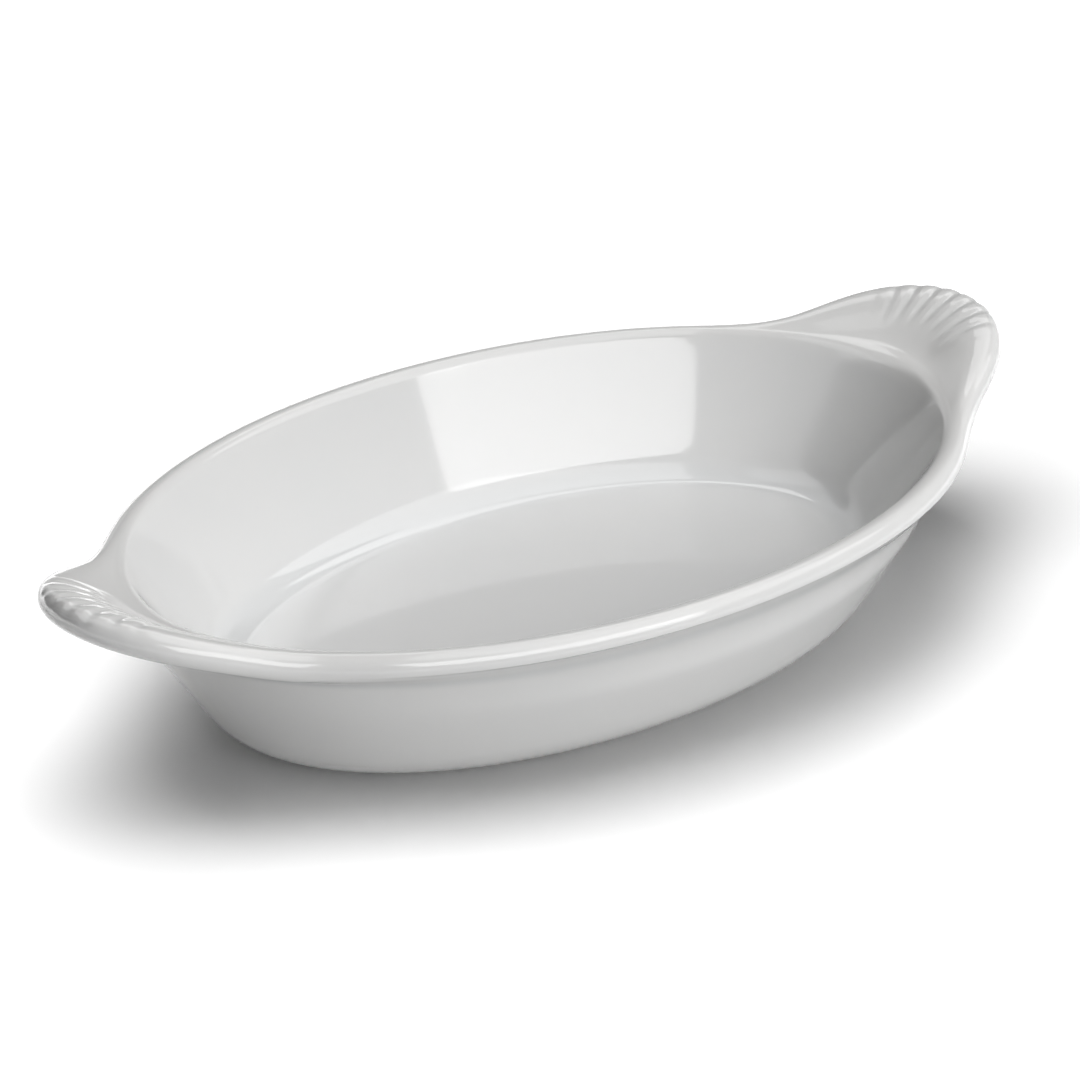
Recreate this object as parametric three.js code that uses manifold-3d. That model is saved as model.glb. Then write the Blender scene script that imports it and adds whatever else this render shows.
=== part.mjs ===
// Oval rarebit dish in white glazed china, standing on z = 0.
// Millimetres, +Z up, +X along the dish towards the right-hand lug.
// The origin is the centre of the dish on the surface that it stands on.

import * as THREE from 'three';
import { mergeVertices } from 'three/addons/utils/BufferGeometryUtils.js';
import Module from 'manifold-3d';

const wasm = await Module();
wasm.setup();

// Oval of the rim, measured to the centre of its rolled edge
const RIM_HALF_LENGTH = 96.2;
const RIM_HALF_WIDTH = 62.5;
const RIM_HEIGHT = 37.9;
const ROLL_RADIUS = 3;

// Body of the dish
const WALL = 5.1;
const END_FLARE = 34.8;
const SIDE_FLARE = 29.2;
const FLOOR_THICKNESS = 6.8;
const FLOOR_FILLET = 10;
const BASE_CORNER = 15.6;

// Standing ring under the floor
const FOOT_HEIGHT = 1;
const FOOT_WIDTH = 5;
const FOOT_INSET = 1.5;
const FOOT_TAPER = 0.5;

// Hollow of the underside, inside the standing ring
const BASE_HOLLOW = 3;

// Shell-shaped lugs at the two ends
const LUG_REACH = 21.3;
const LUG_RADIUS = 21.4;
const LUG_FILLET = 28.3;
const LUG_SLOPE = 24.7;
const LUG_SWEEP = 1.4;
const LUG_PROUD = 0.5;

// Slope of a lug's plate at the rim and at its edge, as shares of its mean slope
const LUG_START = 0.05;
const LUG_FINISH = 0.3;

// Flutes that fan out over each lug from a point behind the rim
const FAN_SETBACK = 10;
const FLUTE_COUNT = 9;
const FLUTE_PITCH = 9.5;
const FLUTE_DEPTH = 0.6;
const FLUTE_START = 0.45;
const FLUTE_FULL = 0.85;
const FLUTE_FADE = 4;
const FLUTE_FAN = 0.4;

// Clearance between a lug and the rim that carries it
const LUG_CLEARANCE = 0.3;

// Fineness of the curved faces
const OVAL_STEPS = 72;
const ROLL_STEPS = 10;
const CORNER_STEPS = 4;
const STEPS_PER_FLUTE = 4;
const FILLET_STEPS = 8;
const NORMAL_STEP = 0.1;
const HALVINGS = 40;
const WELD = 1e-4;
const LUG_STEPS = 6;
const LUG_EDGE_STEPS = 4;

const CHINA_WHITE = 0xf2f2f0;
const CHINA_GLOSS = 0.12;
const BISCUIT_WHITE = 0xe4dfd3;
const BISCUIT_MATT = 0.85;

const radians = THREE.MathUtils.degToRad;
const { lerp, smoothstep } = THREE.MathUtils;

const ROLL_CENTRE = RIM_HEIGHT - ROLL_RADIUS;
const ROLL_SEAT = ROLL_CENTRE - ROLL_RADIUS;
const FLOOR_TOP = FOOT_HEIGHT + BASE_HOLLOW + FLOOR_THICKNESS;
const WALL_SEAT = FLOOR_TOP + FLOOR_FILLET;

// Faces of the flared wall in one upright section through the centre.
// The inner face runs tangent into the roll, and the outer face is parallel to it.
function wallFaces(rimHalf, flare) {
  const angle = radians(flare);
  const tangentRadius = rimHalf - ROLL_RADIUS * Math.cos(angle);
  const tangentHeight = ROLL_CENTRE + ROLL_RADIUS * Math.sin(angle);
  const inner = (z) => tangentRadius - (tangentHeight - z) * Math.tan(angle);
  const outer = (z) => inner(z) + WALL / Math.cos(angle);
  const cornerRadius = outer(FOOT_HEIGHT + BASE_CORNER) - BASE_CORNER / Math.cos(angle);
  const filletRadius = inner(WALL_SEAT) - FLOOR_FILLET / Math.cos(angle);
  const footOutside = cornerRadius - FOOT_INSET;
  const footInside = footOutside - FOOT_WIDTH;
  return { angle, inner, outer, cornerRadius, filletRadius, footOutside, footInside };
}

// Points along an arc in a section, with both of its ends.
function arc(radius, z, size, from, to, steps) {
  const points = [];
  for (let i = 0; i <= steps; i += 1) {
    const turn = lerp(from, to, i / steps);
    points.push([radius + size * Math.cos(turn), z + size * Math.sin(turn)]);
  }
  return points;
}

// Floor of the well, with its rounded outer corner and the fillet up to the wall.
function floorSection(rimHalf, flare) {
  const { angle, inner, outer, cornerRadius, filletRadius, footInside } = wallFaces(rimHalf, flare);
  const down = -Math.PI / 2;
  const hollowEdge = footInside - FOOT_TAPER;
  return [
    [0, FOOT_HEIGHT + BASE_HOLLOW],
    [hollowEdge - BASE_HOLLOW, FOOT_HEIGHT + BASE_HOLLOW],
    [hollowEdge, FOOT_HEIGHT],
    ...arc(cornerRadius, FOOT_HEIGHT + BASE_CORNER, BASE_CORNER, down, -angle, CORNER_STEPS),
    [outer(WALL_SEAT), WALL_SEAT],
    [inner(WALL_SEAT), WALL_SEAT],
    ...arc(filletRadius, WALL_SEAT, FLOOR_FILLET, -angle, down, CORNER_STEPS),
    [0, FLOOR_TOP],
  ];
}

// Straight flared wall between the floor and the roll.
function wallSection(rimHalf, flare) {
  const { inner, outer } = wallFaces(rimHalf, flare);
  return [
    [inner(WALL_SEAT), WALL_SEAT],
    [outer(WALL_SEAT), WALL_SEAT],
    [outer(ROLL_SEAT), ROLL_SEAT],
    [inner(ROLL_SEAT), ROLL_SEAT],
    [inner(WALL_SEAT), WALL_SEAT],
  ];
}

// Rolled edge, rounded over from the inner face to the neck where it meets the outer face.
function rollSection(rimHalf, flare) {
  const { angle, inner, outer } = wallFaces(rimHalf, flare);
  const outside = WALL - ROLL_RADIUS;
  const neck = -angle - Math.acos(outside / ROLL_RADIUS);
  const start = Math.PI - angle;
  return [
    [inner(ROLL_SEAT), ROLL_SEAT],
    [outer(ROLL_SEAT), ROLL_SEAT],
    ...arc(rimHalf, ROLL_CENTRE, ROLL_RADIUS, neck, start, ROLL_STEPS),
    [inner(ROLL_SEAT), ROLL_SEAT],
  ];
}

// Low standing ring that tapers towards the table.
function footSection(rimHalf, flare) {
  const { footOutside, footInside } = wallFaces(rimHalf, flare);
  return [
    [footInside, FOOT_HEIGHT],
    [footInside + FOOT_TAPER, 0],
    [footOutside - FOOT_TAPER, 0],
    [footOutside, FOOT_HEIGHT],
    [footInside, FOOT_HEIGHT],
  ];
}

// Turn a section into an oval ring: the end section sets the long half-axis of every
// ring of points, and the side section sets its short half-axis.
function ovalLathe(section) {
  const endSection = section(RIM_HALF_LENGTH, END_FLARE);
  const sideSection = section(RIM_HALF_WIDTH, SIDE_FLARE);
  const profile = endSection.map(([radius, z]) => new THREE.Vector2(radius, z));
  const geometry = new THREE.LatheGeometry(profile, OVAL_STEPS);
  const position = geometry.attributes.position;
  for (let i = 0; i < position.count; i += 1) {
    const ring = i % profile.length;
    const [long, longZ] = endSection[ring];
    const [short, shortZ] = sideSection[ring];
    const alongX = long > 0 ? position.getZ(i) / long : 0;
    const alongY = long > 0 ? position.getX(i) / long : 0;
    const z = lerp(longZ, shortZ, alongY * alongY);
    position.setXYZ(i, alongX * long, alongY * short, z);
  }
  return geometry;
}

// Distance from the fan's centre to the rim's oval, grown by an offset, along a fan ray.
function ovalRay(turn, offset) {
  const long = RIM_HALF_LENGTH + offset;
  const short = RIM_HALF_WIDTH + offset;
  const centre = RIM_HALF_LENGTH - FAN_SETBACK;
  const a = (Math.cos(turn) / long) ** 2 + (Math.sin(turn) / short) ** 2;
  const b = (centre * Math.cos(turn)) / long ** 2;
  const c = (centre / long) ** 2 - 1;
  return (-b + Math.sqrt(b * b - a * c)) / a;
}

// Distance from the fan's centre to the round end of the lug, at the centre of its edge.
function roundEndRay(turn) {
  const radius = LUG_RADIUS - ROLL_RADIUS;
  const centre = FAN_SETBACK + LUG_REACH - LUG_RADIUS;
  const across = centre * Math.sin(turn);
  return centre * Math.cos(turn) + Math.sqrt(Math.max(radius ** 2 - across ** 2, 0));
}

// The edge of the lug follows the farther of the oval and the round end, with a fillet.
function edgeRay(turn) {
  const rim = ovalRay(turn, 0) + LUG_PROUD;
  const end = roundEndRay(turn);
  const blend = Math.max(LUG_FILLET - Math.abs(rim - end), 0) / LUG_FILLET;
  return Math.max(rim, end) + (LUG_FILLET * blend ** 2) / 4;
}

// A point in plan on a fan ray.
function onRay(turn, distance) {
  const centre = RIM_HALF_LENGTH - FAN_SETBACK;
  return new THREE.Vector2(centre + distance * Math.cos(turn), distance * Math.sin(turn));
}

// The direction in plan that the edge of the lug faces.
function edgeNormal(turn) {
  const step = radians(NORMAL_STEP);
  const after = onRay(turn + step, edgeRay(turn + step));
  const before = onRay(turn - step, edgeRay(turn - step));
  const along = after.sub(before).normalize();
  return new THREE.Vector2(along.y, -along.x);
}

// The fluted part of the fan, to each side of the lug's middle.
const FLUTED_TURN = (radians(FLUTE_PITCH) * FLUTE_COUNT) / 2;

// Depth of the flutes at the edge: valleys between rounded ribs, shallower towards the sides.
function fluteDepth(turn) {
  const pitch = radians(FLUTE_PITCH);
  const inFan = 1 - smoothstep(Math.abs(turn), FLUTED_TURN * FLUTE_FAN, FLUTED_TURN);
  const rib = Math.abs(Math.sin((Math.PI * turn) / pitch - (Math.PI * (FLUTE_COUNT - 1)) / 2));
  return FLUTE_DEPTH * (1 - rib) * inFan;
}

// The fan angle at which the fillet runs out into the rim, found by halving.
function filletEnd() {
  let low = FLUTED_TURN;
  let high = Math.PI;
  for (let i = 0; i < HALVINGS; i += 1) {
    const turn = (low + high) / 2;
    if (ovalRay(turn, 0) + LUG_PROUD - roundEndRay(turn) < LUG_FILLET) {
      low = turn;
    } else {
      high = turn;
    }
  }
  return low;
}

// Fan angles of the lug's columns: even steps over the flutes, wider ones over the fillets.
function fanTurns(halfTurn) {
  const fluted = STEPS_PER_FLUTE * FLUTE_COUNT;
  const turns = [];
  for (let i = 0; i < FILLET_STEPS; i += 1) {
    turns.push(lerp(-halfTurn, -FLUTED_TURN, i / FILLET_STEPS));
  }
  for (let i = 0; i <= fluted; i += 1) {
    turns.push(lerp(-FLUTED_TURN, FLUTED_TURN, i / fluted));
  }
  for (let i = 1; i <= FILLET_STEPS; i += 1) {
    turns.push(lerp(FLUTED_TURN, halfTurn, i / FILLET_STEPS));
  }
  return turns;
}

// A block wrapped to the fan: across runs from the root to the edge, up through the lug.
// The place function takes a fan angle and the two shares, and gives the point.
function fanBlock(halfTurn, place) {
  const turns = fanTurns(halfTurn);
  const columns = turns.length - 1;
  const block = new THREE.BoxGeometry(1, 1, 1, LUG_STEPS, columns, LUG_EDGE_STEPS);
  const position = block.attributes.position;
  for (let i = 0; i < position.count; i += 1) {
    const turn = turns[Math.round((position.getY(i) + 0.5) * columns)];
    const point = place(turn, position.getX(i) + 0.5, position.getZ(i) + 0.5);
    position.setXYZ(i, point.x, point.y, point.z);
  }
  return block;
}

const LUG_HALF_TURN = filletEnd();

// How far the edge of the lug stands out from the oval, along a fan ray.
function pullOut(turn) {
  return edgeRay(turn) - ovalRay(turn, 0);
}

// Height of the centre of the lug's edge, which sweeps up from the rim to the tip.
function edgeHeight(turn) {
  const tip = pullOut(0);
  const share = (pullOut(turn) / tip) ** LUG_SWEEP;
  return ROLL_CENTRE + Math.tan(radians(LUG_SLOPE)) * tip * share;
}

// Rise of the lug's plate: nought at the rim, one at the edge, and steepest between them.
function plateRise(across) {
  const square = 3 - 2 * LUG_START - LUG_FINISH;
  const cube = LUG_START + LUG_FINISH - 2;
  return across * (LUG_START + across * (square + across * cube));
}

// A point of the lug's skin: a plate from the rim to its edge, and a half round on the edge.
function lugPoint(turn, across, up) {
  const edge = onRay(turn, edgeRay(turn));
  const edgeZ = edgeHeight(turn);
  const flute = fluteDepth(turn);
  if (across === 1) {
    const around = Math.PI * (up - 0.5);
    const upper = (1 + Math.sin(around)) / 2;
    const size = ROLL_RADIUS - flute * upper ** FLUTE_FADE;
    const out = edgeNormal(turn).multiplyScalar(size * Math.cos(around));
    return new THREE.Vector3(edge.x + out.x, edge.y + out.y, edgeZ + size * Math.sin(around));
  }
  const root = onRay(turn, ovalRay(turn, LUG_CLEARANCE));
  const plan = root.lerp(edge, across);
  const fade = smoothstep(across, FLUTE_START, FLUTE_FULL);
  const rise = plateRise(across);
  const top = lerp(RIM_HEIGHT, edgeZ + ROLL_RADIUS, rise) - flute * fade;
  const bottom = lerp(ROLL_SEAT + LUG_CLEARANCE, edgeZ - ROLL_RADIUS, rise);
  return new THREE.Vector3(plan.x, plan.y, lerp(bottom, top, up));
}

// The room that a lug takes out of the roll: its own plan, grown by the clearance.
function lugRoom() {
  const halfTurn = LUG_HALF_TURN + (2 * LUG_CLEARANCE) / ovalRay(LUG_HALF_TURN, 0);
  const tall = 2 * ROLL_RADIUS;
  return fanBlock(halfTurn, (turn, across, up) => {
    const plan = onRay(turn, ovalRay(turn, 0));
    const edge = onRay(turn, edgeRay(turn)).addScaledVector(edgeNormal(turn), 2 * ROLL_RADIUS);
    plan.lerp(edge, across);
    return new THREE.Vector3(plan.x, plan.y, lerp(ROLL_CENTRE - tall, ROLL_CENTRE + tall, up));
  });
}

// Closed geometry as a solid that can be cut.
function toSolid(geometry) {
  const bare = geometry.clone();
  bare.deleteAttribute('normal');
  bare.deleteAttribute('uv');
  const merged = mergeVertices(bare, WELD);
  const mesh = new wasm.Mesh({
    numProp: 3,
    vertProperties: Float32Array.from(merged.attributes.position.array),
    triVerts: Uint32Array.from(merged.index.array),
  });
  return new wasm.Manifold(mesh);
}

// A cut solid back as geometry.
function toGeometry(solid) {
  const mesh = solid.getMesh();
  const geometry = new THREE.BufferGeometry();
  geometry.setAttribute('position', new THREE.BufferAttribute(mesh.vertProperties, 3));
  geometry.setIndex(new THREE.BufferAttribute(mesh.triVerts, 1));
  geometry.computeVertexNormals();
  return geometry;
}

// The roll runs all round, and gives its outer half to the lugs at the two ends.
function rimRoll() {
  const room = lugRoom();
  const opposite = room.clone().rotateZ(Math.PI);
  const ring = toSolid(ovalLathe(rollSection));
  return toGeometry(ring.subtract(toSolid(room)).subtract(toSolid(opposite)));
}

const glaze = () => new THREE.MeshStandardMaterial({ color: CHINA_WHITE, roughness: CHINA_GLOSS });
const biscuit = () => new THREE.MeshStandardMaterial({ color: BISCUIT_WHITE, roughness: BISCUIT_MATT });

const dish = new THREE.Group();

function addPiece(name, geometry, material) {
  const piece = new THREE.Mesh(geometry, material);
  piece.name = name;
  dish.add(piece);
  return piece;
}

addPiece('foot_ring', ovalLathe(footSection), biscuit());
addPiece('well_floor', ovalLathe(floorSection), glaze());
addPiece('side_wall', ovalLathe(wallSection), glaze());
addPiece('rim_roll', rimRoll(), glaze());
const lugShape = fanBlock(LUG_HALF_TURN, lugPoint);
addPiece('right_shell_lug', lugShape, glaze());
addPiece('left_shell_lug', lugShape.clone(), glaze()).rotation.z = Math.PI;

export default dish;
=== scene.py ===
"""Oval rarebit dish in white glazed china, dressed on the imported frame.

The dish is swept round its oval by one Geometry Nodes tree: a section of rows runs from the middle of
the underside, out and up the wall, over the rolled rim and down to the middle of the well. At the two
ends the tree draws the roll out into a fluted shell lug.
"""

import math

import bpy
from mathutils import Matrix, Vector


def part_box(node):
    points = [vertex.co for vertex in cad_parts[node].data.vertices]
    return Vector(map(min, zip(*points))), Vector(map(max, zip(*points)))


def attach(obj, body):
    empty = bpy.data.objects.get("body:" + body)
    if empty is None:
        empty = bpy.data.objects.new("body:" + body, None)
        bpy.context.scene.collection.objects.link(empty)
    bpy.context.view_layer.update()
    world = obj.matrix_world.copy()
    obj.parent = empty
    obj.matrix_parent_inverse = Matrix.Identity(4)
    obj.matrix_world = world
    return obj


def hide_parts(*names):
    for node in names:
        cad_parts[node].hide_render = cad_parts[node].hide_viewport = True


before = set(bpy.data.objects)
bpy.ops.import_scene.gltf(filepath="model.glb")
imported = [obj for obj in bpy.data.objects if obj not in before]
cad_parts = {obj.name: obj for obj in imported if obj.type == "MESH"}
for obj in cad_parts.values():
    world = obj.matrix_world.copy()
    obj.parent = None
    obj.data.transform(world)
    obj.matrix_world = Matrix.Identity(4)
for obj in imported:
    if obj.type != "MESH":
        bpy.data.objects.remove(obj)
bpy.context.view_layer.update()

bl_info = {
    "name": "Rarebit dish",
    "version": (1, 0, 0),
    "blender": (4, 5, 0),
    "location": "View3D > Sidebar > Rarebit dish",
    "description": "Builds an oval china dish with shell lugs, and the studio that it is shown in",
    "category": "Object",
}

BODY = "root"
MM = 0.001

# Sizes that the frame already holds
ROLL_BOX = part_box("rim_roll")
FOOT_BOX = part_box("foot_ring")
ROLL_RADIUS = (ROLL_BOX[1].z - ROLL_BOX[0].z) / 2
RIM_HALF_LENGTH = ROLL_BOX[1].x
RIM_HALF_WIDTH = ROLL_BOX[1].y - ROLL_RADIUS

# Rows of the section
UNDER_ROWS = 5
HOLLOW_ROWS = 6
CORNER_ROWS = 10
OUTER_WALL_ROWS = 14
NECK_ROWS = 10
RIM_ROWS = 76
INNER_WALL_ROWS = 10
FILLET_ROWS = 12
FLOOR_ROWS = 5
FOOT_CORNER_ROWS = 4
BODY_ROW = -1.0

# Parts of a stretch of rows: the wall's top and the roll's start that are smoothed into the neck,
# and the middle and reach of the pooled glaze in the neck and in the fillet
SOFT_WALL = 0.6
SOFT_ROLL = 0.2
NECK_POOL = (0.5, 0.5)
FILLET_POOL = (0.6, 0.6)

# Pull of the lug, in radii of the roll, from which its root is fully smoothed
ROOT_ONSET = 0.3

# Fineness and joining of the swept mesh
FAN_COLUMNS = 241
FAN_CROWDING = 0.5
NORMAL_STEP = math.radians(0.2)
JOIN_DISTANCE = 0.002 * MM
LEAST_LENGTH = 0.001 * MM

HALF_TURN = math.pi
QUARTER_TURN = math.pi / 2


def length(name, description, default):
    """A size in metres."""
    return bpy.props.FloatProperty(
        name=name, description=description, default=default, min=0.0, precision=5, unit="LENGTH")


def angle(name, description, degrees):
    """An angle, given in degrees."""
    return bpy.props.FloatProperty(
        name=name, description=description, default=math.radians(degrees), unit="ROTATION")


def share(name, description, default, top=1.0):
    """A plain number from nought up."""
    return bpy.props.FloatProperty(
        name=name, description=description, default=default, min=0.0, max=top, precision=4)


def colour(name, description, default):
    """A linear colour."""
    return bpy.props.FloatVectorProperty(
        name=name, description=description, default=default, size=3, min=0.0, max=1.0, subtype="COLOR")


class RarebitShape(bpy.types.PropertyGroup):
    """Sizes of the china."""

    rim_half_length: length("Rim half length", "Centre to the roll's centre, at an end", RIM_HALF_LENGTH)
    rim_half_width: length("Rim half width", "Centre to the roll's centre, at a side", RIM_HALF_WIDTH)
    rim_height: length("Rim height", "Table to the top of the roll", ROLL_BOX[1].z)
    roll_radius: length("Roll radius", "Radius of the rolled edge", ROLL_RADIUS)
    wall: length("Wall", "Thickness of the wall", 5.1 * MM)
    end_flare: angle("End flare", "Lean of the wall at an end", 34.8)
    side_flare: angle("Side flare", "Lean of the wall at a side", 29.2)
    floor_thickness: length("Floor thickness", "Thickness of the floor", 6.8 * MM)
    floor_fillet: length("Floor fillet", "Radius between the floor and the wall", 10 * MM)
    base_corner: length("Base corner", "Radius of the outer corner of the base", 15.6 * MM)
    end_neck: length("End neck", "Fillet under the roll, at an end", 5 * MM)
    side_neck: length("Side neck", "Fillet under the roll, at a side", 30 * MM)
    softness: bpy.props.IntProperty(
        name="Softness", description="Rounds of smoothing at the neck and the lug's root",
        default=26, min=0)

    foot_height: length("Foot height", "Height of the standing ring", FOOT_BOX[1].z)
    foot_width: length("Foot width", "Width of the standing ring", 5 * MM)
    foot_inset: length("Foot inset", "Standing ring in from the flat of the base", 1.5 * MM)
    foot_taper: length("Foot taper", "Lean of the ring's flanks", 0.5 * MM)
    base_hollow: length("Base hollow", "Hollow of the underside, inside the standing ring", 3 * MM)
    foot_round: length("Foot round", "Radius of the ring's edges", 0.35 * MM)
    foot_root: length("Foot root", "How far the ring is sunk in the base", 0.3 * MM)

    lug_reach: length("Lug reach", "Lug beyond the centre of the roll", 21.3 * MM)
    lug_radius: length("Lug radius", "Radius of the lug's round end", 21.4 * MM)
    lug_fillet: length("Lug fillet", "Blend between the lug and the oval", 28.3 * MM)
    lug_slope: angle("Lug slope", "Rise of the lug to its tip", 24.7)
    lug_sweep: share("Lug sweep", "How late the edge rises towards the tip", 1.4, top=4.0)
    lug_start: share("Lug start", "Slope of the lug at the rim, as a share of its mean slope", 0.05)
    lug_finish: share("Lug finish", "Slope of the lug at its edge, as a share of its mean slope", 0.3)
    lug_root: length("Lug root", "Width of the soft turn from the wall to the lug", 3 * MM)

    fan_setback: length("Fan setback", "Centre of the flutes, behind the roll", 10 * MM)
    flute_count: bpy.props.IntProperty(
        name="Flute count", description="Valleys on each lug", default=9, min=1)
    flute_pitch: angle("Flute pitch", "Angle from one valley to the next", 9.5)
    flute_depth: length("Flute depth", "Depth of a valley at the edge", 0.52 * MM)
    flute_start: share("Flute start", "Where the flutes begin, from the rim to the edge", 0.45)
    flute_full: share("Flute full", "Where the flutes are at their deepest", 0.85)
    flute_fade: share("Flute fade", "How fast the flutes fade over the edge", 4.0, top=9.0)
    flute_fan: share("Flute fan", "Share of the fan where the flutes are at their deepest", 0.4)
    flute_round: share("Flute round", "Glaze that softens the valleys", 0.45)


class RarebitFinish(bpy.types.PropertyGroup):
    """Colours and surfaces of the china."""

    glaze: colour("Glaze", "White of the glazed china", (0.80, 0.80, 0.795))
    pooled: colour("Pooled glaze", "Where the glaze is thick, in the hollows", (0.74, 0.755, 0.76))
    thinned: colour("Thin glaze", "Where the glaze runs thin, on the edges", (0.83, 0.822, 0.805))
    fleck: colour("Fleck", "Specks in the glaze", (0.42, 0.38, 0.33))
    gloss: share("Gloss", "Roughness of the glaze", 0.07)
    biscuit: colour("Biscuit", "Bare china of the foot", (0.72, 0.69, 0.62))
    biscuit_grain: colour("Biscuit grain", "Darker grains of the bare china", (0.55, 0.51, 0.44))


class RarebitStage(bpy.types.PropertyGroup):
    """Camera, lights and floor."""

    azimuth: angle("Azimuth", "Camera round the dish, from the front", -41.14)
    elevation: angle("Elevation", "Camera above the table", 25.97)
    roll: angle("Roll", "Turn of the camera about its axis", -0.18)
    distance: length("Distance", "Camera to the centre of the foot", 1.05)
    focal_pixels: share("Focal length", "Focal length in pixels of the image", 5207.0, top=20000.0)
    origin_across: share("Origin across", "Image column of the centre of the foot", 546.1, top=1080.0)
    origin_down: share("Origin down", "Image row of the centre of the foot", 650.2, top=1080.0)
    floor: colour("Floor", "Colour of the floor", (0.93, 0.93, 0.93))
    floor_lift: share("Floor lift", "White added to the floor in the image", 0.04)
    bounce: colour("Bounce", "Card under the floor that throws light up at the dish", (0.85, 0.85, 0.85))
    grey_flag: colour("Grey flag", "Card that the well's floor mirrors", (0.45, 0.45, 0.45))
    dark_flag: colour("Dark flag", "Card that the far end of the well mirrors", (0.02, 0.02, 0.02))
    fill: share("Fill", "Strength of the light from all round", 0.02, top=4.0)


class Term:
    """A socket that takes part in arithmetic: every operation adds a Math node to its tree."""

    def __init__(self, graph, socket):
        self.graph = graph
        self.socket = socket

    def math(self, operation, *others):
        return self.graph.math(operation, self, *others)

    def __add__(self, other):
        return self.math("ADD", other)

    def __radd__(self, other):
        return self.graph.math("ADD", other, self)

    def __sub__(self, other):
        return self.math("SUBTRACT", other)

    def __rsub__(self, other):
        return self.graph.math("SUBTRACT", other, self)

    def __mul__(self, other):
        return self.math("MULTIPLY", other)

    def __rmul__(self, other):
        return self.graph.math("MULTIPLY", other, self)

    def __truediv__(self, other):
        return self.math("DIVIDE", other)

    def __rtruediv__(self, other):
        return self.graph.math("DIVIDE", other, self)

    def __pow__(self, other):
        return self.math("POWER", other)

    def __abs__(self):
        return self.math("ABSOLUTE")

    def sin(self):
        return self.math("SINE")

    def cos(self):
        return self.math("COSINE")

    def sqrt(self):
        return self.math("SQRT")

    def at_least(self, low):
        return self.math("MAXIMUM", low)

    def at_most(self, high):
        return self.math("MINIMUM", high)

    def between(self, low, high):
        return self.at_least(low).at_most(high)

    def ease(self, start, end):
        """Nought before start, one after end, and a smooth step between."""
        settings = {"interpolation_type": "SMOOTHSTEP"}
        return self.graph.node("ShaderNodeMapRange", settings, {0: self, 1: start, 2: end})


class Graph:
    """A node tree that is written as expressions on its terms."""

    def __init__(self, tree):
        self.tree = tree

    def node(self, kind, settings=None, sockets=None, output=0):
        """Add a node: settings first, then the values or links of its sockets. Gives one output."""
        made = self.tree.nodes.new(kind)
        for name, value in (settings or {}).items():
            setattr(made, name, value)
        for key, value in (sockets or {}).items():
            self.feed(made.inputs[key], value)
        return Term(self, made.outputs[output]) if made.outputs else made

    def feed(self, socket, value):
        """Link a term to a socket, or set its value. A list is linked one by one."""
        for one in value if isinstance(value, list) else [value]:
            if isinstance(one, Term):
                self.tree.links.new(one.socket, socket)
            else:
                socket.default_value = one

    def math(self, operation, *values):
        return self.node("ShaderNodeMath", {"operation": operation}, dict(enumerate(values)))

    def apart(self, vector):
        """The three numbers of a vector."""
        split = self.node("ShaderNodeSeparateXYZ", None, {"Vector": vector}).socket.node
        return [Term(self, output) for output in split.outputs]

    def mix(self, factor, first, second):
        """A number part of the way from first to second."""
        return first + (second - first) * factor

    def blend(self, factor, first, second):
        """A colour part of the way from first to second."""
        full = [value if isinstance(value, Term) else (*value, 1.0) for value in (first, second)]
        return self.node("ShaderNodeMix", {"data_type": "RGBA"}, {0: factor, 6: full[0], 7: full[1]}, 2)


# Section of the dish

class Row:
    """One ring of the swept mesh: its long and short half-axes, its heights there and its marks."""

    def __init__(self, end, side, rim=BODY_ROW, soft=0.0, pool=0.0):
        self.end = end
        self.side = side
        self.rim = rim
        self.soft = soft
        self.pool = pool


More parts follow.
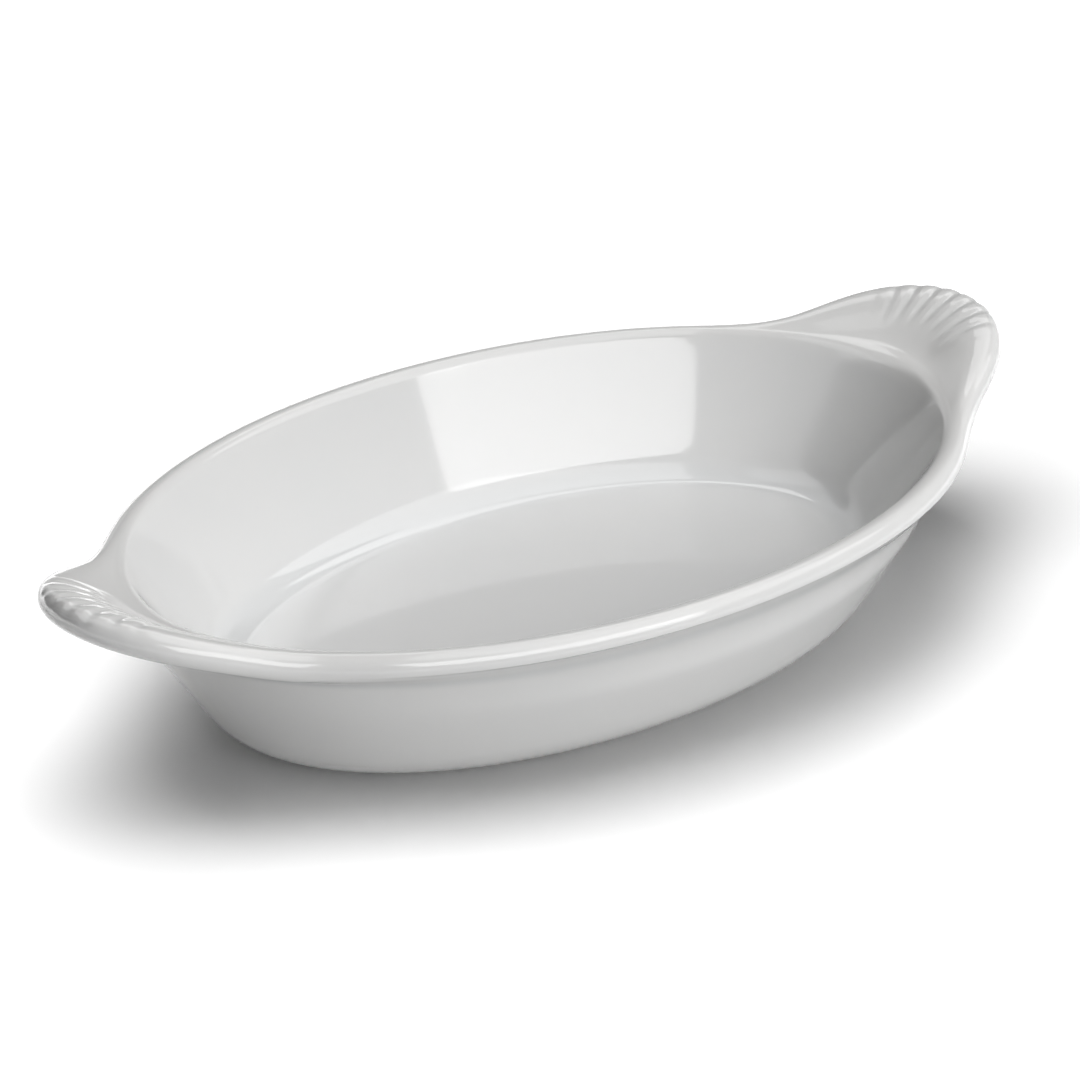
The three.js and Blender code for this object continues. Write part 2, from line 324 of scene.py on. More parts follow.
class WallFaces:
    """Inner and outer face of the flared wall in one upright section through the centre."""

    def __init__(self, shape, half, flare, neck_fillet):
        self.shape = shape
        self.half = half
        self.flare = flare
        self.neck_fillet = neck_fillet
        outside = shape.wall - shape.roll_radius
        self.neck_turn = math.acos((outside + neck_fillet) / (shape.roll_radius + neck_fillet))
        self.centre = shape.rim_height - shape.roll_radius
        self.floor_top = shape.foot_height + shape.base_hollow + shape.floor_thickness
        self.fillet_height = self.floor_top + shape.floor_fillet
        self.corner_height = shape.foot_height + shape.base_corner
        lean = 1 / math.cos(flare)
        self.fillet = self.inner(self.fillet_height) - shape.floor_fillet * lean
        self.corner = self.outer(self.corner_height) - shape.base_corner * lean
        self.foot_outside = self.corner - shape.foot_inset
        self.foot_inside = self.foot_outside - shape.foot_width

    def inner(self, z):
        radius = self.shape.roll_radius
        top = self.centre + radius * math.sin(self.flare)
        return self.half - radius * math.cos(self.flare) - (top - z) * math.tan(self.flare)

    def outer(self, z):
        return self.inner(z) + self.shape.wall / math.cos(self.flare)

    def neck_arc(self, along):
        """Hollow fillet under the roll, from the outer face to the roll."""
        turn = -self.flare - self.neck_turn
        apart = self.shape.roll_radius + self.neck_fillet
        back = HALF_TURN - self.flare - self.neck_turn * along
        return (self.half + apart * math.cos(turn) + self.neck_fillet * math.cos(back),
                self.centre + apart * math.sin(turn) + self.neck_fillet * math.sin(back))

    def underside(self, along):
        """Flat of the hollow base, from the middle to its flank."""
        edge = self.foot_inside - self.shape.foot_taper - self.shape.base_hollow
        return edge * along, self.shape.foot_height + self.shape.base_hollow

    def hollow_flank(self, along):
        """Flank of the hollow base down to the ring, rounded at both ends."""
        start, top = self.underside(1.0)
        drop = self.shape.base_hollow
        return start + drop * along, top - drop * along * along * (3 - 2 * along)

    def corner_arc(self, along):
        """Rounded outer corner of the base, from the flat to the wall."""
        turn = -QUARTER_TURN + (QUARTER_TURN - self.flare) * along
        size = self.shape.base_corner
        return self.corner + size * math.cos(turn), self.corner_height + size * math.sin(turn)

    def fillet_arc(self, along):
        """Fillet of the well, from the wall to the floor."""
        turn = -self.flare - (QUARTER_TURN - self.flare) * along
        size = self.shape.floor_fillet
        return self.fillet + size * math.cos(turn), self.fillet_height + size * math.sin(turn)

    def outer_line(self, along):
        """Outer face, from the corner to the neck, with its rows crowded towards the neck."""
        start = self.corner_arc(1.0)
        end = self.neck_arc(0.0)
        eased = 1 - (1 - along) ** 2
        return start[0] + (end[0] - start[0]) * eased, start[1] + (end[1] - start[1]) * eased

    def inner_line(self, along):
        """Inner face, from the roll down to the fillet."""
        top = self.centre + self.shape.roll_radius * math.sin(self.flare)
        bottom = self.fillet_arc(0.0)[1]
        z = top + (bottom - top) * along
        return self.inner(z), z


def wall_faces(shape):
    """The section at an end and the section at a side."""
    return (WallFaces(shape, shape.rim_half_length, shape.end_flare, shape.end_neck),
            WallFaces(shape, shape.rim_half_width, shape.side_flare, shape.side_neck))


def steps(count, first=0):
    """Even shares up to one, from the first step on."""
    return [i / count for i in range(first, count + 1)]


def bell(along, middle, width):
    """One at the middle, falling smoothly to nought a width away."""
    away = min(abs(along - middle) / width, 1.0)
    return (1 - away * away) ** 2


def dish_rows(shape):
    """Rows of the dish, from the middle of the underside over the rim to the middle of the well."""
    end, side = wall_faces(shape)
    rows = []
    for along in steps(UNDER_ROWS):
        rows.append(Row(end.underside(along), side.underside(along)))
    for along in steps(HOLLOW_ROWS, 1):
        rows.append(Row(end.hollow_flank(along), side.hollow_flank(along)))
    rows.append(Row((end.corner, shape.foot_height), (side.corner, shape.foot_height)))
    for along in steps(CORNER_ROWS, 1):
        rows.append(Row(end.corner_arc(along), side.corner_arc(along)))
    for along in steps(OUTER_WALL_ROWS, 1):
        near = bell(along, 1.0, SOFT_WALL)
        rows.append(Row(end.outer_line(along), side.outer_line(along), soft=near))
    for along in steps(NECK_ROWS, 1)[:-1]:
        pool = bell(along, *NECK_POOL)
        rows.append(Row(end.neck_arc(along), side.neck_arc(along), soft=1.0, pool=pool))
    for along in steps(RIM_ROWS):
        soft = bell(along, 0.0, SOFT_ROLL)
        rows.append(Row(end.neck_arc(1.0), side.neck_arc(1.0), rim=along, soft=soft))
    for along in steps(INNER_WALL_ROWS, 1):
        rows.append(Row(end.inner_line(along), side.inner_line(along)))
    for along in steps(FILLET_ROWS, 1):
        pool = bell(along, *FILLET_POOL)
        rows.append(Row(end.fillet_arc(along), side.fillet_arc(along), pool=pool))
    for along in steps(FLOOR_ROWS, 1):
        left = 1 - along
        rows.append(Row((end.fillet * left, end.floor_top), (side.fillet * left, side.floor_top)))
    return rows


def foot_rows(shape):
    """Rows of the standing ring, once round its section."""
    top = shape.foot_height + shape.foot_root
    round_off = shape.foot_round
    rows = []
    places = []
    for faces in wall_faces(shape):
        outside = faces.foot_outside
        inside = faces.foot_inside
        low_in = inside + shape.foot_taper
        low_out = outside - shape.foot_taper
        ring = [(inside, top), (inside, shape.foot_height)]
        for along in steps(FOOT_CORNER_ROWS):
            turn = HALF_TURN + QUARTER_TURN * along
            ring.append((low_in + round_off * (1 + math.cos(turn)), round_off * (1 + math.sin(turn))))
        for along in steps(FOOT_CORNER_ROWS):
            turn = -QUARTER_TURN + QUARTER_TURN * along
            ring.append((low_out - round_off * (1 - math.cos(turn)), round_off * (1 + math.sin(turn))))
        ring += [(outside, shape.foot_height), (outside, top), (inside, top)]
        places.append(ring)
    for end, side in zip(*places):
        rows.append(Row(end, side))
    return rows


def section_object(name, rows):
    """The rows as loose points that the tree can read."""
    mesh = bpy.data.meshes.new(name)
    mesh.from_pydata([(row.end[0], row.side[0], row.end[1]) for row in rows], [], [])
    marks = {
        "side_z": [row.side[1] for row in rows],
        "rim": [row.rim for row in rows],
        "soft": [row.soft for row in rows],
        "pool": [row.pool for row in rows],
    }
    for key, values in marks.items():
        mesh.attributes.new(key, "FLOAT", "POINT").data.foreach_set("value", values)
    made = bpy.data.objects.new(name, mesh)
    bpy.context.scene.collection.objects.link(made)
    return made


# Tree that sweeps a section round the oval

SHAPE_INPUTS = (
    "rim_half_length", "rim_half_width", "rim_height", "roll_radius", "end_flare", "side_flare",
    "lug_reach", "lug_radius", "lug_fillet", "lug_slope", "lug_sweep", "lug_start", "lug_finish",
    "lug_root", "fan_setback", "flute_count", "flute_pitch", "flute_depth", "flute_start",
    "flute_full", "flute_fade", "flute_fan", "flute_round",
)


class OvalTree:
    """Half of the oval as a grid of fan rays and section rows, turned round for the other half."""

    def __init__(self):
        self.tree = bpy.data.node_groups.new("oval_china", "GeometryNodeTree")
        self.graph = Graph(self.tree)
        self.sockets = {}
        self.add_input("section", "NodeSocketObject")
        self.add_input("material", "NodeSocketMaterial")
        self.add_input("columns", "NodeSocketInt")
        self.add_input("softness", "NodeSocketInt")
        for name in (*SHAPE_INPUTS, "end_neck_turn", "side_neck_turn"):
            self.add_input(name, "NodeSocketFloat")
        self.tree.interface.new_socket("Mesh", in_out="OUTPUT", socket_type="NodeSocketGeometry")
        source = self.tree.nodes.new("NodeGroupInput")
        self.size = {name: Term(self.graph, source.outputs[name]) for name in self.sockets}
        self.build()

    def add_input(self, name, kind):
        self.sockets[name] = self.tree.interface.new_socket(name, in_out="INPUT", socket_type=kind)

    def mark(self, name):
        """A mark that the points carry."""
        return self.graph.node("GeometryNodeInputNamedAttribute", {"data_type": "FLOAT"}, {"Name": name})

    def sampled(self, section, row, name):
        """A mark of the section's row at hand."""
        settings = {"data_type": "FLOAT", "domain": "POINT"}
        sockets = {"Geometry": section, "Value": self.mark(name), "Index": row}
        return self.graph.node("GeometryNodeSampleIndex", settings, sockets)

    def sampled_place(self, section, row):
        """The long half-axis, the short half-axis and the height of the row at hand."""
        place = self.graph.node("GeometryNodeInputPosition")
        settings = {"data_type": "FLOAT_VECTOR", "domain": "POINT"}
        sockets = {"Geometry": section, "Value": place, "Index": row}
        found = self.graph.node("GeometryNodeSampleIndex", settings, sockets)
        return self.graph.apart(found)

    def rays(self, turn):
        """Distances from the fan's centre to the rim's oval and to the edge of the lug."""
        size = self.size
        long, short = size["rim_half_length"], size["rim_half_width"]
        centre = long - size["fan_setback"]
        a = (turn.cos() / long) ** 2 + (turn.sin() / short) ** 2
        b = centre * turn.cos() / (long * long)
        c = (centre / long) ** 2 - 1.0
        rim = ((b * b - a * c).sqrt() - b) / a
        radius = size["lug_radius"] - size["roll_radius"]
        end_centre = size["fan_setback"] + size["lug_reach"] - size["lug_radius"]
        across = end_centre * turn.sin()
        end = end_centre * turn.cos() + (radius * radius - across * across).at_least(0.0).sqrt()
        fillet = size["lug_fillet"]
        near = (fillet - abs(rim - end)).at_least(0.0) / fillet
        edge = rim.math("MAXIMUM", end) + fillet * near * near / 4.0
        return rim, edge

    def tip_pull(self):
        """How far the lug stands out at its middle."""
        size = self.size
        reach = size["lug_reach"] - size["roll_radius"]
        near = (size["lug_fillet"] - reach).at_least(0.0) / size["lug_fillet"]
        return reach + size["lug_fillet"] * near * near / 4.0

    def flutes(self, turn):
        """Depth of the flutes at the edge: narrow valleys between rounded ribs."""
        size = self.size
        fan = size["flute_pitch"] * size["flute_count"] / 2.0
        phase = HALF_TURN * turn / size["flute_pitch"] - QUARTER_TURN * (size["flute_count"] - 1.0)
        wave = phase.sin()
        rib = (wave * wave + size["flute_round"] ** 2).sqrt()
        inside = 1.0 - abs(turn).ease(fan * size["flute_fan"], fan)
        return (1.0 - rib).at_least(0.0) * inside

    def rim_place(self, turn, rim_share, oval):
        """Points of the roll, and of the lug where the roll is drawn out along the fan rays."""
        g, size = self.graph, self.size
        rim, edge = self.rays(turn)
        pull = edge - rim
        tip = self.tip_pull()
        rise = size["lug_slope"].math("TANGENT") * tip * (pull / tip) ** size["lug_sweep"]
        mean = rise / pull.at_least(LEAST_LENGTH)
        plate = (pull * pull + rise * rise).sqrt()

        radius = size["roll_radius"]
        flare = g.mix(oval["side"], size["end_flare"], size["side_flare"])
        neck = flare + g.mix(oval["side"], size["end_neck_turn"], size["side_neck_turn"])
        half_round = HALF_TURN * radius
        start, finish = size["lug_start"], size["lug_finish"]
        root_slope = (mean * start).math("ARCTANGENT")
        inner_end = (flare + root_slope - QUARTER_TURN) * radius
        neck_end = 2.0 * plate + half_round + (root_slope + neck - QUARTER_TURN) * radius
        path = g.mix(rim_share, neck_end, inner_end)

        out = path.between(0.0, plate) - (path - plate - half_round).between(0.0, plate)
        rolled = path.at_most(0.0) + (path - plate).between(0.0, half_round)
        rolled = rolled + (path - 2.0 * plate - half_round).at_least(0.0)
        around = QUARTER_TURN - rolled / radius
        across = out / plate.at_least(LEAST_LENGTH)
        square = 3.0 - 2.0 * start - finish
        cube = start + finish - 2.0
        climb = across * (start + across * (square + across * cube))
        slope = (mean * (start + across * (2.0 * square + 3.0 * across * cube))).math("ARCTANGENT")

        flute = self.flutes(turn)
        upper = around.sin() * 0.5 + 0.5
        fade = across.ease(size["flute_start"], size["flute_full"]) * upper ** size["flute_fade"]
        section = radius - size["flute_depth"] * flute * fade
        along = section * around.cos()
        above = section * around.sin()
        outward = along * slope.cos() - above * slope.sin()
        lift = along * slope.sin() + above * slope.cos()

        ahead = self.rays(turn + NORMAL_STEP)[1]
        behind = self.rays(turn - NORMAL_STEP)[1]
        growth = (ahead - behind) / (2.0 * NORMAL_STEP)
        normal_x = edge * turn.cos() + growth * turn.sin()
        normal_y = edge * turn.sin() - growth * turn.cos()
        size_of_normal = (normal_x * normal_x + normal_y * normal_y).sqrt()
        edge_share = across * pull.ease(0.0, radius)
        face_x = g.mix(edge_share, oval["x"], normal_x / size_of_normal)
        face_y = g.mix(edge_share, oval["y"], normal_y / size_of_normal)

        reach = rim + pull * across
        x = size["rim_half_length"] - size["fan_setback"] + reach * turn.cos() + outward * face_x
        y = reach * turn.sin() + outward * face_y
        z = size["rim_height"] - radius + rise * climb + lift
        root = (1.0 - abs(path).ease(0.0, size["lug_root"])) * pull.ease(0.0, ROOT_ONSET * radius)
        return (x, y, z), flute * fade, upper * around.sin().at_least(0.0), root

    def build(self):
        g, size = self.graph, self.size
        section = g.node("GeometryNodeObjectInfo", None, {"Object": size["section"]}, "Geometry")
        count = g.node("GeometryNodeAttributeDomainSize", {"component": "MESH"}, {"Geometry": section})
        sockets = {"Size X": 2.0, "Size Y": 1.0, "Vertices X": size["columns"], "Vertices Y": count}
        grid = g.node("GeometryNodeMeshGrid", None, sockets)
        across, down, _ = g.apart(g.node("GeometryNodeInputPosition"))
        row = ((down + 0.5) * (count - 1.0)).math("ROUND")

        # Fan rays, crowded towards the middle of the lug
        short, long = size["rim_half_width"], size["rim_half_length"]
        last = short.math("ARCTAN2", size["fan_setback"] - long)
        turn = last * (FAN_CROWDING * across + (1.0 - FAN_CROWDING) * across * across * across)
        rim, _ = self.rays(turn)
        oval = {
            "x": (long - size["fan_setback"] + rim * turn.cos()) / long,
            "y": rim * turn.sin() / short,
        }
        oval["side"] = oval["y"] * oval["y"]

        end, side, end_z = self.sampled_place(section, row)
        rim_share = self.sampled(section, row, "rim")
        body = (end * oval["x"], side * oval["y"],
                g.mix(oval["side"], end_z, self.sampled(section, row, "side_z")))
        rolled, valley, crest, root = self.rim_place(turn, rim_share.at_least(0.0), oval)
        on_rim = rim_share.math("GREATER_THAN", BODY_ROW / 2)
        place = [g.mix(on_rim, own, drawn) for own, drawn in zip(body, rolled)]

        pool = self.sampled(section, row, "pool").math("MAXIMUM", valley * on_rim)
        soft = self.sampled(section, row, "soft").math("MAXIMUM", root * on_rim)
        mesh = self.store(grid, "soft", soft)
        mesh = self.store(mesh, "pool", pool)
        mesh = self.store(mesh, "thin", crest * on_rim)
        position = g.node("ShaderNodeCombineXYZ", None, dict(enumerate(place)))
        half = g.node("GeometryNodeSetPosition", None, {"Geometry": mesh, "Position": position})

        # Other half, and one skin
        sockets = {"Geometry": half, "Rotation": (0.0, 0.0, HALF_TURN)}
        turned = g.node("GeometryNodeTransform", None, sockets)
        both = g.node("GeometryNodeJoinGeometry", None, {"Geometry": [half, turned]})
        sockets = {"Geometry": both, "Distance": JOIN_DISTANCE}
        skin = g.node("GeometryNodeMergeByDistance", None, sockets)
        sockets = {
            "Value": g.node("GeometryNodeInputPosition"),
            "Iterations": size["softness"],
            "Weight": self.mark("soft"),
        }
        eased = g.node("GeometryNodeBlurAttribute", {"data_type": "FLOAT_VECTOR"}, sockets)
        skin = g.node("GeometryNodeSetPosition", None, {"Geometry": skin, "Position": eased})
        skin = g.node("GeometryNodeSetShadeSmooth", None, {"Geometry": skin})
        skin = g.node("GeometryNodeRealizeInstances", None, {"Geometry": skin})
        skin = g.node("GeometryNodeSetMaterial", None, {"Geometry": skin, "Material": size["material"]})
        g.node("NodeGroupOutput", None, {"Mesh": skin})

    def store(self, mesh, name, value):
        settings = {"data_type": "FLOAT", "domain": "POINT"}
        sockets = {"Geometry": mesh, "Name": name, "Value": value}
        return self.graph.node("GeometryNodeStoreNamedAttribute", settings, sockets)

    def sweep(self, name, rows, shape, material):
        """A plain mesh object: the rows swept round the oval."""
        section = section_object(name + "_section", rows)
        made = bpy.data.objects.new(name, bpy.data.meshes.new(name))
        bpy.context.scene.collection.objects.link(made)
        modifier = made.modifiers.new("oval", "NODES")
        modifier.node_group = self.tree
        values = {key: float(getattr(shape, key)) for key in SHAPE_INPUTS}
        end, side = wall_faces(shape)
        values.update(section=section, material=material, columns=FAN_COLUMNS, softness=shape.softness,
                      end_neck_turn=end.neck_turn, side_neck_turn=side.neck_turn)
        for key, value in values.items():
            modifier[self.sockets[key].identifier] = value
        graph = bpy.context.evaluated_depsgraph_get()
        mesh = bpy.data.meshes.new_from_object(
            made.evaluated_get(graph), preserve_all_data_layers=True, depsgraph=graph)
        if len(mesh.polygons) == 0:
            raise RuntimeError(f"the sweep of {name} made no faces")
        made.modifiers.remove(modifier)
        made.data = mesh
        mesh.name = name
        bpy.data.objects.remove(section)
        return made


# Finishes

# Grain of the patterns in the glaze, the biscuit and the floor
CLOUD_GRAIN = 38.0
PEEL_GRAIN = 310.0
WAVE_GRAIN = 21.0
SPECK_GRAIN = 120.0
BISCUIT_GRAIN = 1400.0
STAIN_GRAIN = 90.0
FIBRE_GRAIN = 60.0

# Size of a speck in its cell, and the draw above which a cell has one
SPECK_EDGE = (0.012, 0.03)
SPECK_DRAW = 0.93

# Depths of the waved glaze and of the bare grain
GLAZE_RELIEF = 0.06 * MM
BISCUIT_RELIEF = 0.08 * MM


def new_material(name):
    """An empty node material and its graph."""
    material = bpy.data.materials.new(name)
    material.use_nodes = True
    material.node_tree.nodes.clear()
    return material, Graph(material.node_tree)


def finish_material(graph, sockets):
    """The surface shader, set by its socket names."""
    surface = graph.node("ShaderNodeBsdfPrincipled", None, sockets)
    graph.node("ShaderNodeOutputMaterial", None, {"Surface": surface})


def white_glaze(finish):
    """Clear gloss glaze over white china: thick in the hollows, thin on the edges, finely waved."""
    material, g = new_material("white_glaze")
    place = g.node("ShaderNodeTexCoord", None, None, "Object")
    pool = g.node("ShaderNodeAttribute", {"attribute_name": "pool"}, None, "Fac")
    thin = g.node("ShaderNodeAttribute", {"attribute_name": "thin"}, None, "Fac")
    cloud = g.node("ShaderNodeTexNoise", None, {"Vector": place, "Scale": CLOUD_GRAIN, "Detail": 3.0})
    peel = g.node("ShaderNodeTexNoise", None, {"Vector": place, "Scale": PEEL_GRAIN, "Detail": 1.0})
    wave = g.node("ShaderNodeTexNoise", None, {"Vector": place, "Scale": WAVE_GRAIN, "Detail": 0.0})
    cells = {"Vector": place, "Scale": SPECK_GRAIN}
    speck = g.node("ShaderNodeTexVoronoi", None, cells, "Distance")
    lot = g.node("ShaderNodeSeparateXYZ", None,
                 {"Vector": g.node("ShaderNodeTexVoronoi", None, cells, "Color")})

    flecked = (1.0 - speck.ease(*SPECK_EDGE)) * lot.math("GREATER_THAN", SPECK_DRAW)
    white = g.blend(pool * 0.6, finish.glaze, finish.pooled)
    white = g.blend(thin * 0.5, white, finish.thinned)
    white = g.blend(cloud.ease(0.35, 0.75) * 0.18, white, finish.pooled)
    white = g.blend(flecked * 0.12, white, finish.fleck)
    rough = finish.gloss + cloud * 0.03 + flecked * 0.15 - pool * 0.02
    height = peel * 0.25 + wave * 3.0 - flecked * 0.3
    bump = {"Strength": 0.35, "Distance": GLAZE_RELIEF, "Height": height}
    normal = g.node("ShaderNodeBump", None, bump)
    finish_material(g, {
        "Base Color": white, "Roughness": rough, "IOR": 1.52,
        "Coat Weight": 0.3 + pool * 0.3, "Coat Roughness": 0.03, "Normal": normal,
    })
    return material


def bare_biscuit(finish):
    """Ground bare china: rough, slightly warm and grainy."""
    material, g = new_material("bare_biscuit")
    place = g.node("ShaderNodeTexCoord", None, None, "Object")
    grain = g.node("ShaderNodeTexNoise", None, {"Vector": place, "Scale": BISCUIT_GRAIN, "Detail": 4.0})
    stain = g.node("ShaderNodeTexNoise", None, {"Vector": place, "Scale": STAIN_GRAIN, "Detail": 3.0})
    tone = g.blend(grain.ease(0.45, 0.75) * 0.6, finish.biscuit, finish.biscuit_grain)
    tone = g.blend(stain.ease(0.5, 0.8) * 0.35, tone, finish.biscuit_grain)
    bump = {"Strength": 0.6, "Distance": BISCUIT_RELIEF, "Height": grain}
    normal = g.node("ShaderNodeBump", None, bump)
    finish_material(g, {"Base Color": tone, "Roughness": 0.78 + grain * 0.15, "Normal": normal})
    return material


GLAZED_NODES = ("well_floor", "side_wall", "rim_roll", "right_shell_lug", "left_shell_lug")
BARE_NODES = ("foot_ring",)


def settle(piece, nodes):
    """Tie a finished piece to the frame."""
    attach(piece, BODY)
    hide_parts(*nodes)


class RAREBIT_OT_china_dish(bpy.types.Operator):
    """Make the glazed dish: well, wall, rolled rim and both shell lugs in one skin"""

    bl_idname = "rarebit.china_dish"
    bl_label = "China dish"

    def execute(self, context):
        shape = context.scene.rarebit_shape
        glaze = white_glaze(context.scene.rarebit_finish)
        piece = OvalTree().sweep("china_dish", dish_rows(shape), shape, glaze)
        settle(piece, GLAZED_NODES)
        return {"FINISHED"}


class RAREBIT_OT_standing_ring(bpy.types.Operator):
    """Make the bare standing ring under the dish"""

    bl_idname = "rarebit.standing_ring"
    bl_label = "Standing ring"

    def execute(self, context):
        shape = context.scene.rarebit_shape
        biscuit = bare_biscuit(context.scene.rarebit_finish)
        piece = OvalTree().sweep("standing_ring", foot_rows(shape), shape, biscuit)
        settle(piece, BARE_NODES)
        return {"FINISHED"}


# Stage

IMAGE_SIDE = 1080.0
SENSOR_MM = 36.0
DISH_MIDDLE = Vector((0.0, 0.0, 0.02))
FLOOR_SIDE = 8.0
FIBRE_TONE = (0.88, 0.88, 0.88)
WHITE = (1.0, 1.0, 1.0)
PIECES = ("china_dish", "standing_ring")

# Distances from the centre over which the floor's own white comes up to full
CLEAR_FLOOR = (0.15, 0.3)

# Part of a flag that keeps its tone, before it pales towards its edges
FLAG_CORE = 0.6

# Place of each flag round the dish in degrees and metres, its width and height
BACK_FLAG = ((133.0, 16.0, 1.8), (1.7, 1.5))
LEFT_FLAG = ((-150.0, 23.0, 1.8), (3.2, 1.8))

# Place of each lamp round the dish, its width and height, and the radiance of its face
CHINA_LAMPS = {
    "front_softbox": ((-1.5, 33.5, 1.4), (1.45, 0.7), 3.5),
    "right_softbox": ((52.0, 60.0, 1.6), (1.6, 1.6), 1.38),
    "left_softbox": ((-140.0, 62.0, 1.6), (0.9, 0.9), 0.75),
    "back_strip": ((131.0, 51.0, 1.4), (0.8, 0.35), 1.6),
}
FLOOR_LAMPS = {
    "floor_softbox": ((-105.0, 80.0, 1.5), (1.5, 1.5), 4.8),
}


def toward(azimuth, elevation):
    """Direction from the dish: azimuth from the front, elevation above the table."""
    level = math.cos(elevation)
    return Vector((math.sin(azimuth) * level, -math.cos(azimuth) * level, math.sin(elevation)))


def around_dish(azimuth, elevation, distance):
    """A place round the dish, given in degrees, turned to face the dish."""
    place = DISH_MIDDLE + distance * toward(math.radians(azimuth), math.radians(elevation))
    turn = (DISH_MIDDLE - place).to_track_quat("-Z", "Y").to_matrix().to_4x4()
    return Matrix.Translation(place) @ turn


def lit_group(name, members):
    """The only objects that a lamp lights."""
    group = bpy.data.collections.new(name)
    for member in members:
        group.objects.link(member)
    return group


def softbox(name, place, size, radiance, lit):
    """A rectangular lamp whose face has the given radiance."""
    width, height = size
    lamp = bpy.data.lights.new(name, "AREA")
    lamp.shape = "RECTANGLE"
    lamp.size = width
    lamp.size_y = height
    lamp.energy = radiance * width * height * math.pi
    made = bpy.data.objects.new(name, lamp)
    made.matrix_world = around_dish(*place)
    made.visible_camera = False
    made.light_linking.receiver_collection = lit
    bpy.context.scene.collection.objects.link(made)


def make_camera(stage):
    """The camera, turned so that the centre of the foot falls on its place in the image."""
    back = toward(stage.azimuth, stage.elevation)
    level = Vector((math.cos(stage.azimuth), math.sin(stage.azimuth), 0.0))
    right = level * math.cos(stage.roll) + back.cross(level) * math.sin(stage.roll)
    up = back.cross(right)
    middle = IMAGE_SIDE / 2
    aside = (middle - stage.origin_across) / stage.focal_pixels
    above = (stage.origin_down - middle) / stage.focal_pixels
    axis = (right * aside + up * above - back).normalized()
    right = (right - axis * right.dot(axis)).normalized()
    up = right.cross(axis)
    turn = Matrix((right, up, -axis)).transposed().to_4x4()
    data = bpy.data.cameras.new("camera")
    data.sensor_width = SENSOR_MM
    data.lens = SENSOR_MM * stage.focal_pixels / IMAGE_SIDE
    data.clip_start = 0.01
    data.clip_end = 20.0
    camera = bpy.data.objects.new("camera", data)
    camera.matrix_world = Matrix.Translation(back * stage.distance) @ turn
    bpy.context.scene.collection.objects.link(camera)
    bpy.context.scene.camera = camera


def shown_white(graph):
    """One for the rays that show the background, straight on or mirrored."""
    path = graph.node("ShaderNodeLightPath").socket.node
    kinds = ("Is Camera Ray", "Is Glossy Ray", "Is Transmission Ray")
    seen = [Term(graph, path.outputs[kind]) for kind in kinds]
    return seen[0].math("MAXIMUM", seen[1]).math("MAXIMUM", seen[2])


def stage_sheet(name, place, width, height, material):
    """A flat rectangle of the stage."""
    mesh = bpy.data.meshes.new(name)
    x, y = width / 2, height / 2
    mesh.from_pydata([(-x, -y, 0.0), (x, -y, 0.0), (x, y, 0.0), (-x, y, 0.0)], [], [(0, 1, 2, 3)])
    mesh.materials.append(material)
    sheet = bpy.data.objects.new(name, mesh)
    sheet.matrix_world = place
    bpy.context.scene.collection.objects.link(sheet)
    return sheet


def make_floor(stage):
    """A pale floor that shows white where no shadow falls."""
    material, g = new_material("pale_floor")
    place = g.node("ShaderNodeTexCoord", None, None, "Object")
    fibre = g.node("ShaderNodeTexNoise", None, {"Vector": place, "Scale": FIBRE_GRAIN})
    tone = g.blend(fibre * 0.02, stage.floor, FIBRE_TONE)
    matt = g.node("ShaderNodeBsdfDiffuse", None, {"Color": tone})
    away = g.node("ShaderNodeVectorMath", {"operation": "LENGTH"}, {0: place}, "Value")
    glow = g.mix(away.ease(*CLEAR_FLOOR), stage.floor_lift, 1.0)
    lift = g.node("ShaderNodeEmission", None, {"Color": glow, "Strength": shown_white(g)})
    surface = g.node("ShaderNodeAddShader", None, {0: matt, 1: lift})
    g.node("ShaderNodeOutputMaterial", None, {"Surface": surface})
    floor = stage_sheet("floor", Matrix(), FLOOR_SIDE, FLOOR_SIDE, material)
    floor.visible_diffuse = False
    floor.visible_shadow = False
    return floor


def make_bounce(stage):
    """A card just under the floor, out of sight, that throws the lamps' light up at the dish."""
    material, g = new_material("bounce_card")
    matt = g.node("ShaderNodeBsdfDiffuse", None, {"Color": (*stage.bounce, 1.0)})
    g.node("ShaderNodeOutputMaterial", None, {"Surface": matt})
    place = Matrix.Translation((0.0, 0.0, -MM))
    card = stage_sheet("bounce_card", place, FLOOR_SIDE, FLOOR_SIDE, material)
    card.visible_camera = False
    card.visible_glossy = False
    return card


def make_flag(name, place, size, tone):
    """A grey card out of the camera's sight, which the glaze mirrors. It pales towards its edges."""
    width, height = size
    material, g = new_material(name)
    spot = g.node("ShaderNodeTexCoord", None, None, "Object")
    aside, above = [abs(one) for one in g.apart(spot)[:2]]
    away = (aside / (width / 2)).math("MAXIMUM", above / (height / 2))
    grey = g.blend(away.ease(FLAG_CORE, 1.0), tone, WHITE)
    glow = g.node("ShaderNodeEmission", None, {"Color": grey, "Strength": shown_white(g)})
    g.node("ShaderNodeOutputMaterial", None, {"Surface": glow})
    flag = stage_sheet(name, around_dish(*place), width, height, material)
    flag.visible_camera = False
    flag.visible_shadow = False


def make_world(stage):
    """Soft fill from all round, which the camera and mirrored rays see as white."""
    world = bpy.data.worlds.new("studio")
    world.use_nodes = True
    world.node_tree.nodes.clear()
    g = Graph(world.node_tree)
    strength = g.mix(shown_white(g), stage.fill, 1.0)
    glow = g.node("ShaderNodeBackground", None, {"Color": (*WHITE, 1.0), "Strength": strength})
    g.node("ShaderNodeOutputWorld", None, {"Surface": glow})
    bpy.context.scene.world = world


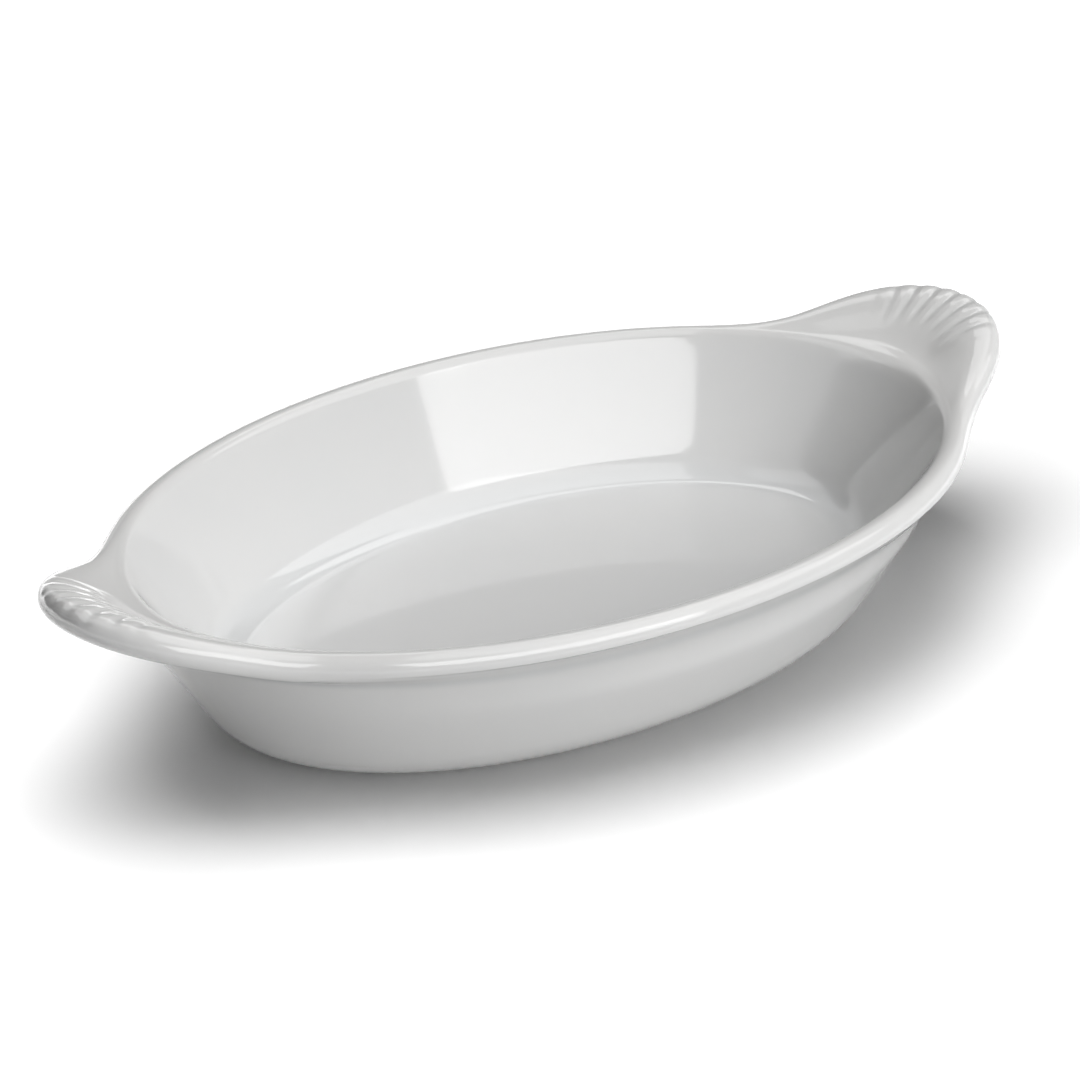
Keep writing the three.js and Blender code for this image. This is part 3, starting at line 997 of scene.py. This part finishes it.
class RAREBIT_OT_stage(bpy.types.Operator):
    """Set up the camera, the floor and the soft studio lights"""

    bl_idname = "rarebit.stage"
    bl_label = "Stage"

    def execute(self, context):
        stage = context.scene.rarebit_stage
        context.scene.view_settings.view_transform = "Standard"
        make_camera(stage)
        make_world(stage)
        floor = make_floor(stage)
        bounce = make_bounce(stage)
        make_flag("back_flag", *BACK_FLAG, stage.grey_flag)
        make_flag("left_flag", *LEFT_FLAG, stage.dark_flag)
        pieces = [context.scene.objects[name] for name in PIECES]
        china = lit_group("lit_china", [*pieces, bounce])
        ground = lit_group("lit_floor", [floor])
        for name, lamp in CHINA_LAMPS.items():
            softbox(name, *lamp, china)
        for name, lamp in FLOOR_LAMPS.items():
            softbox(name, *lamp, ground)
        return {"FINISHED"}


class RAREBIT_PT_panel(bpy.types.Panel):
    """Sizes, finishes and steps of the dish"""

    bl_label = "Rarebit dish"
    bl_idname = "RAREBIT_PT_panel"
    bl_space_type = "VIEW_3D"
    bl_region_type = "UI"
    bl_category = "Rarebit dish"

    def draw(self, context):
        for name in GROUPS:
            group = getattr(context.scene, name)
            box = self.layout.box()
            for key in group.__annotations__:
                box.prop(group, key)
        for step in STEPS:
            self.layout.operator(step.bl_idname)


STEPS = (RAREBIT_OT_china_dish, RAREBIT_OT_standing_ring, RAREBIT_OT_stage)
GROUPS = {"rarebit_shape": RarebitShape, "rarebit_finish": RarebitFinish, "rarebit_stage": RarebitStage}


def register():
    for group in (*GROUPS.values(), *STEPS, RAREBIT_PT_panel):
        bpy.utils.register_class(group)
    for key, group in GROUPS.items():
        setattr(bpy.types.Scene, key, bpy.props.PointerProperty(type=group))


def unregister():
    for key in GROUPS:
        delattr(bpy.types.Scene, key)
    for group in (RAREBIT_PT_panel, *reversed(STEPS), *reversed(GROUPS.values())):
        bpy.utils.unregister_class(group)


def main():
    register()
    bpy.ops.rarebit.china_dish()
    bpy.ops.rarebit.standing_ring()
    bpy.ops.rarebit.stage()


if __name__ == "__main__":
    main()
